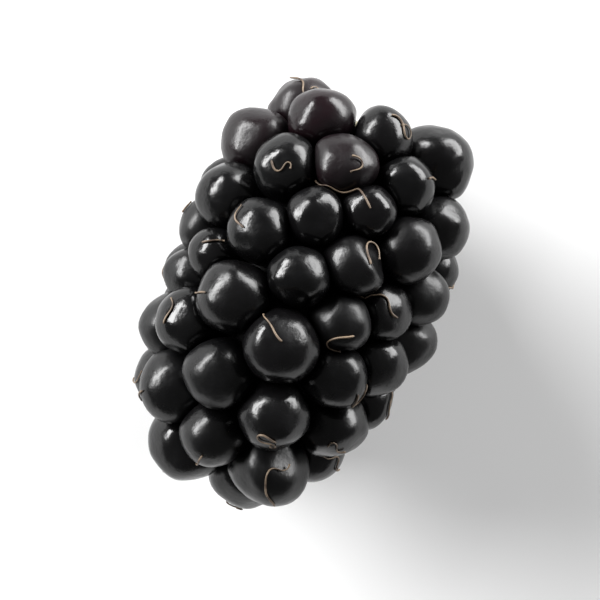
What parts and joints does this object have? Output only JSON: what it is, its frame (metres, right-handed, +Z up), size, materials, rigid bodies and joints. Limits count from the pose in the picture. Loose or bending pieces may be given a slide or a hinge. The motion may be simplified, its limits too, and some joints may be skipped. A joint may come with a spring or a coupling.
{
  "type": "bramble berry",
  "caption": "Ripe bramble berry lying on its side: an oblong aggregate fruit of rounded black drupelets crowded in a spiral, with the pale broken end of its receptacle.",
  "frame": {"origin": "bottom centre of the berry's bounding box, on the surface it lies on", "axes": "+X along the berry from the stem end to the tip, +Z up"},
  "size_m": [0.0292, 0.0195, 0.0192],
  "materials": {
    "drupelet_skin": "gloss",
    "receptacle_flesh": "matte"
  },
  "bodies": {
    "root": {"drupelets": "drupelet_skin", "receptacle": "receptacle_flesh"}
  },
  "joints": []
}
